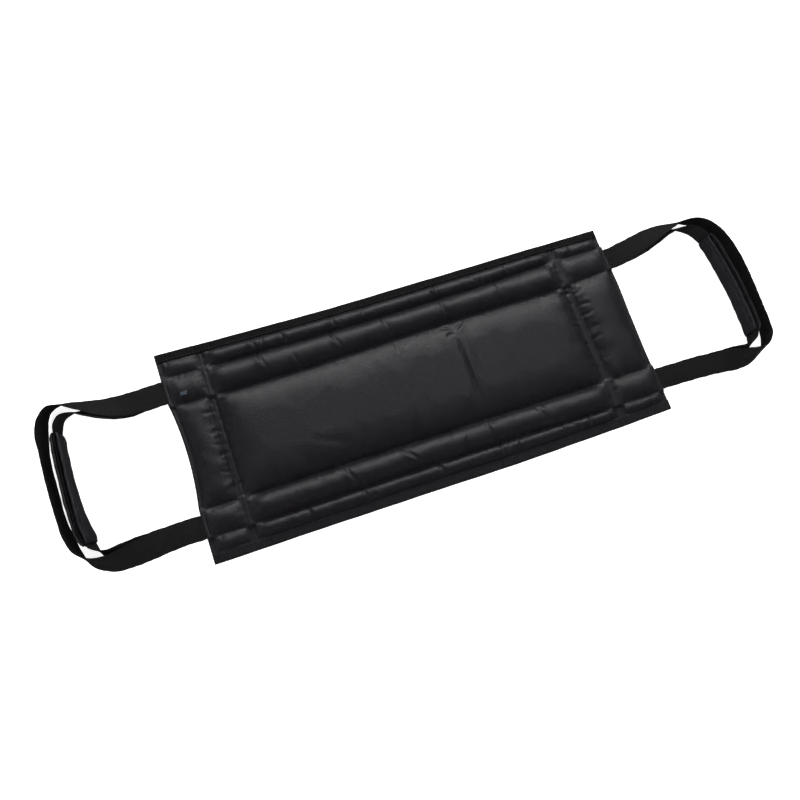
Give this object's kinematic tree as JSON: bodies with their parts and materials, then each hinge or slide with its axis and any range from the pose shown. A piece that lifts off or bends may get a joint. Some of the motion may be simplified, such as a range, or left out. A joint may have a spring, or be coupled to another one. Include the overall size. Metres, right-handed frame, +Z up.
{
  "type": "padded patient transfer sling",
  "caption": "Quilted padded sling for moving a person, with nested webbing hand loops at both ends; folds at its sewn seams.",
  "frame": {"origin": "middle of the pad's length and width, on the flat underside that lies on a table", "axes": "+X along the pad to its right end, where the panel join is nearer; +Y to the upper long edge; +Z up"},
  "size_m": [0.8123, 0.229, 0.0269],
  "materials": {
    "cover_nylon": "coated nylon oxford, satin",
    "binding_tape": "woven binding tape, matte",
    "webbing": "polypropylene webbing, matte",
    "sleeve_nylon": "folded nylon oxford, satin",
    "foam": "closed-cell foam",
    "thread": "bonded nylon thread"
  },
  "bodies": {
    "pad_main": {"main_bottom_cover": "cover_nylon", "main_foam_centre": "foam", "main_foam_lower_edge": "foam", "main_foam_lower_strap": "foam", "main_foam_upper_edge": "foam", "main_foam_upper_strap": "foam", "main_lower_binding": "binding_tape", "main_lower_webbing": "webbing", "main_top_cover": "cover_nylon", "main_upper_binding": "binding_tape", "main_upper_webbing": "webbing", "middle_seam_main_thread": "thread"},
    "pad_right": {"middle_seam_right_thread": "thread", "right_bottom_cover": "cover_nylon", "right_foam_centre": "foam", "right_foam_lower_edge": "foam", "right_foam_lower_strap": "foam", "right_foam_upper_edge": "foam", "right_foam_upper_strap": "foam", "right_lower_binding": "binding_tape", "right_lower_webbing": "webbing", "right_top_cover": "cover_nylon", "right_upper_binding": "binding_tape", "right_upper_webbing": "webbing"},
    "pad_left_end": {"left_cross_seam_inner_thread": "thread", "left_cross_seam_outer_thread": "thread", "left_end_bottom_cover": "cover_nylon", "left_end_foam_centre": "foam", "left_end_hem_thread": "thread", "left_end_lower_binding": "binding_tape", "left_end_lower_grip_tail": "webbing", "left_end_lower_webbing": "webbing", "left_end_top_cover": "cover_nylon", "left_end_upper_binding": "binding_tape", "left_end_upper_grip_tail": "webbing", "left_end_upper_webbing": "webbing"},
    "pad_right_end": {"right_cross_seam_inner_thread": "thread", "right_cross_seam_outer_thread": "thread", "right_end_bottom_cover": "cover_nylon", "right_end_foam_centre": "foam", "right_end_hem_thread": "thread", "right_end_lower_binding": "binding_tape", "right_end_lower_grip_tail": "webbing", "right_end_lower_webbing": "webbing", "right_end_top_cover": "cover_nylon", "right_end_upper_binding": "binding_tape", "right_end_upper_grip_tail": "webbing", "right_end_upper_webbing": "webbing"},
    "left_grip_loop": {"left_grip_loop_webbing": "webbing", "left_grip_sleeve": "sleeve_nylon", "left_lower_strap_root": "webbing", "left_upper_strap_root": "webbing"},
    "left_long_loop": {"left_long_loop_webbing": "webbing"},
    "right_grip_loop": {"right_grip_loop_webbing": "webbing", "right_grip_sleeve": "sleeve_nylon", "right_lower_strap_root": "webbing", "right_upper_strap_root": "webbing"},
    "right_long_loop": {"right_long_loop_webbing": "webbing"}
  },
  "joints": [
    {"name": "middle_fold", "type": "hinge", "parent": "pad_main", "child": "pad_right", "pos_m": [0.058, 0, 0.0154], "axis": [0, -1, 0], "range_deg": [0, 60]},
    {"name": "left_end_fold", "type": "hinge", "parent": "pad_main", "child": "pad_left_end", "pos_m": [-0.213, 0, 0.00435], "axis": [0, 1, 0], "range_deg": [-60, 60]},
    {"name": "right_end_fold", "type": "hinge", "parent": "pad_right", "child": "pad_right_end", "pos_m": [0.197, 0, 0.00435], "axis": [0, -1, 0], "range_deg": [-60, 60]},
    {"name": "left_grip_swing", "type": "hinge", "parent": "pad_left_end", "child": "left_grip_loop", "pos_m": [-0.266, 0, 0.00435], "axis": [0, 1, 0], "range_deg": [-75, 75]},
    {"name": "left_long_swing", "type": "hinge", "parent": "left_grip_loop", "child": "left_long_loop", "pos_m": [-0.288, 0, 0.0074], "axis": [0, 1, 0], "range_deg": [0, 30]},
    {"name": "right_grip_swing", "type": "hinge", "parent": "pad_right_end", "child": "right_grip_loop", "pos_m": [0.266, 0, 0.00435], "axis": [0, -1, 0], "range_deg": [-75, 75]},
    {"name": "right_long_swing", "type": "hinge", "parent": "right_grip_loop", "child": "right_long_loop", "pos_m": [0.288, 0, 0.0074], "axis": [0, -1, 0], "range_deg": [0, 30]}
  ]
}
